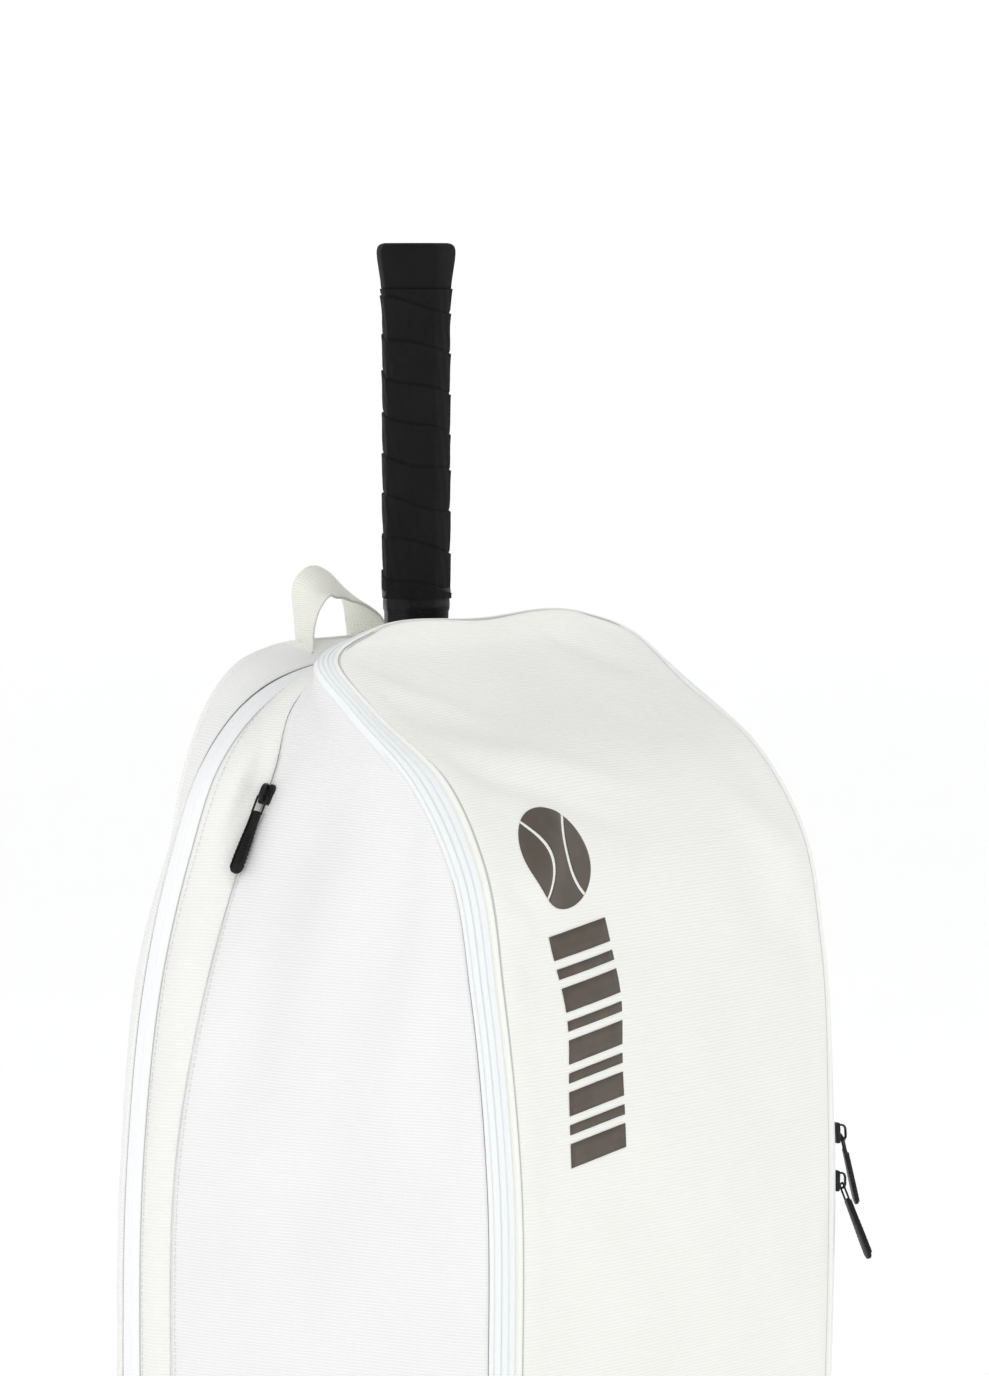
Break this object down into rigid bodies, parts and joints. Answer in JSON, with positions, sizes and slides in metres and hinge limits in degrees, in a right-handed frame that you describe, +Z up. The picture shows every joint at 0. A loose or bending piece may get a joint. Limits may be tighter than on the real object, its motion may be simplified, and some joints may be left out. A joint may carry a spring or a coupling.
{
  "type": "racket backpack",
  "caption": "Standing sports backpack with a sloped front compartment, a top mouth holding one racket by the head, and zips that run over the top.",
  "frame": {"origin": "centre of the flat base", "axes": "+Z up along the racket, +X to the right seen from the front, -Y towards the front panel, +Y towards the wearer"},
  "size_m": [0.3464, 0.2844, 0.695],
  "materials": {
    "base_fabric": "coated woven base fabric",
    "board": "matt board",
    "front_fabric": "fine horizontal rib weave",
    "band_fabric": "smooth ribbed piping band",
    "zip_tape": "woven zip tape with a nylon coil",
    "side_fabric": "fine grid ripstop",
    "back_fabric": "woven back fabric",
    "air_mesh": "padded air mesh",
    "lining": "plain lining",
    "webbing": "ribbed webbing",
    "buckle_plastic": "moulded acetal",
    "zip_metal": "black coated die-casting",
    "pull_link": "black wire",
    "pull_rubber": "moulded soft plastic",
    "racket_paint": "dark satin lacquer on carbon",
    "racket_plastic": "nylon guard",
    "racket_string": "monofilament",
    "pallet_foam": "moulded foam",
    "collar_rubber": "glossy rubber collar",
    "overgrip": "perforated tacky wrap",
    "butt_rubber": "moulded cap",
    "print_ink": "dark transfer print"
  },
  "bodies": {
    "bag": {"back_pad_left": "air_mesh", "back_pad_right": "air_mesh", "back_panel": "back_fabric", "base_board": "board", "bottom_panel": "base_fabric", "front_divider": "lining", "front_skirt": "front_fabric", "front_zip_tape": "zip_tape", "haul_loop": "webbing", "ladder_lock_left": "buckle_plastic", "ladder_lock_right": "buckle_plastic", "lumbar_pad": "air_mesh", "main_zip_tape": "zip_tape", "middle_gusset": "side_fabric", "racket_zip_tape": "zip_tape", "rear_divider": "lining", "rear_gusset": "side_fabric", "shoulder_strap_left": "air_mesh", "shoulder_strap_right": "air_mesh", "side_gusset": "side_fabric", "skirt_band_left": "band_fabric", "skirt_band_right": "band_fabric", "strap_anchor_left": "side_fabric", "strap_anchor_right": "side_fabric", "strap_tail_left": "webbing", "strap_tail_right": "webbing", "strap_webbing_left": "webbing", "strap_webbing_right": "webbing", "strap_wing_left": "side_fabric", "strap_wing_right": "side_fabric"},
    "front_flap": {"front_panel": "front_fabric", "front_band": "band_fabric"},
    "racket": {"racket_frame": "racket_paint", "bumper_guard": "racket_plastic", "string_bed": "racket_string", "handle_pallet": "pallet_foam", "grip_collar": "collar_rubber", "overgrip": "overgrip", "butt_cap": "butt_rubber"},
    "racket_zip_left_slider": {"racket_zip_left_slider": "zip_metal"},
    "racket_zip_left_pull": {"racket_zip_left_link": "pull_link", "racket_zip_left_grip": "pull_rubber"},
    "racket_zip_right_slider": {"racket_zip_right_slider": "zip_metal"},
    "racket_zip_right_pull": {"racket_zip_right_link": "pull_link", "racket_zip_right_grip": "pull_rubber"},
    "front_zip_upper_slider": {"front_zip_upper_slider": "zip_metal"},
    "front_zip_upper_pull": {"front_zip_upper_link": "pull_link", "front_zip_upper_grip": "pull_rubber"},
    "front_zip_lower_slider": {"front_zip_lower_slider": "zip_metal"},
    "front_zip_lower_pull": {"front_zip_lower_link": "pull_link", "front_zip_lower_grip": "pull_rubber"},
    "main_zip_upper_slider": {"main_zip_upper_slider": "zip_metal"},
    "main_zip_upper_pull": {"main_zip_upper_link": "pull_link", "main_zip_upper_grip": "pull_rubber"},
    "main_zip_lower_slider": {"main_zip_lower_slider": "zip_metal"},
    "main_zip_lower_pull": {"main_zip_lower_link": "pull_link", "main_zip_lower_grip": "pull_rubber"}
  },
  "joints": [
    {"name": "front_flap_hinge", "type": "hinge", "parent": "bag", "child": "front_flap", "pos_m": [0, -0.119, 0.045], "axis": [1, 0, 0], "range_deg": [0, 85]},
    {"name": "racket_lift", "type": "slide", "parent": "bag", "child": "racket", "axis": [0, 0, 1], "range_m": [0, 0.13]},
    {"name": "racket_zip_left_travel", "type": "slide", "parent": "bag", "child": "racket_zip_left_slider", "axis": [-0.4362, 0.0982, -0.8945], "range_m": [0, 0.028]},
    {"name": "racket_zip_left_pull_swing", "type": "hinge", "parent": "racket_zip_left_slider", "child": "racket_zip_left_pull", "pos_m": [-0.13237, 0.04381, 0.41872], "axis": [-0.0154, 0.9931, 0.1166], "range_deg": [0, 130]},
    {"name": "racket_zip_right_travel", "type": "slide", "parent": "bag", "child": "racket_zip_right_slider", "axis": [0.4362, 0.0982, -0.8945], "range_m": [0, 0.028]},
    {"name": "racket_zip_right_pull_swing", "type": "hinge", "parent": "racket_zip_right_slider", "child": "racket_zip_right_pull", "pos_m": [0.13237, 0.04381, 0.41872], "axis": [-0.0154, -0.9931, -0.1166], "range_deg": [0, 130]},
    {"name": "front_zip_upper_travel", "type": "slide", "parent": "bag", "child": "front_zip_upper_slider", "axis": [0.0199, 0.0791, 0.9967], "range_m": [0, 0.07]},
    {"name": "front_zip_upper_pull_swing", "type": "hinge", "parent": "front_zip_upper_slider", "child": "front_zip_upper_pull", "pos_m": [0.1614, -0.11524, 0.22638], "axis": [-0.61, -0.7162, -0.3391], "range_deg": [0, 112]},
    {"name": "front_zip_lower_travel", "type": "slide", "parent": "bag", "child": "front_zip_lower_slider", "axis": [-0.0083, 0, -1], "range_m": [0, 0.075]},
    {"name": "front_zip_lower_pull_swing", "type": "hinge", "parent": "front_zip_lower_slider", "child": "front_zip_lower_pull", "pos_m": [0.1612, -0.11511, 0.20097], "axis": [-0.6001, -0.6858, 0.4118], "range_deg": [0, 82]},
    {"name": "main_zip_upper_travel", "type": "slide", "parent": "bag", "child": "main_zip_upper_slider", "axis": [-0.0331, -0.1104, 0.9933], "range_m": [0, 0.07]},
    {"name": "main_zip_upper_pull_swing", "type": "hinge", "parent": "main_zip_upper_slider", "child": "main_zip_upper_pull", "pos_m": [0.16739, 0.10114, 0.24833], "axis": [0.1217, -0.8571, -0.5006], "range_deg": [0, 130]},
    {"name": "main_zip_lower_travel", "type": "slide", "parent": "bag", "child": "main_zip_lower_slider", "axis": [-0.0083, 0.0354, -0.9993], "range_m": [0, 0.08]},
    {"name": "main_zip_lower_pull_swing", "type": "hinge", "parent": "main_zip_lower_slider", "child": "main_zip_lower_pull", "pos_m": [0.16754, 0.10259, 0.22498], "axis": [0.1122, -0.9208, 0.3735], "range_deg": [0, 130]}
  ]
}
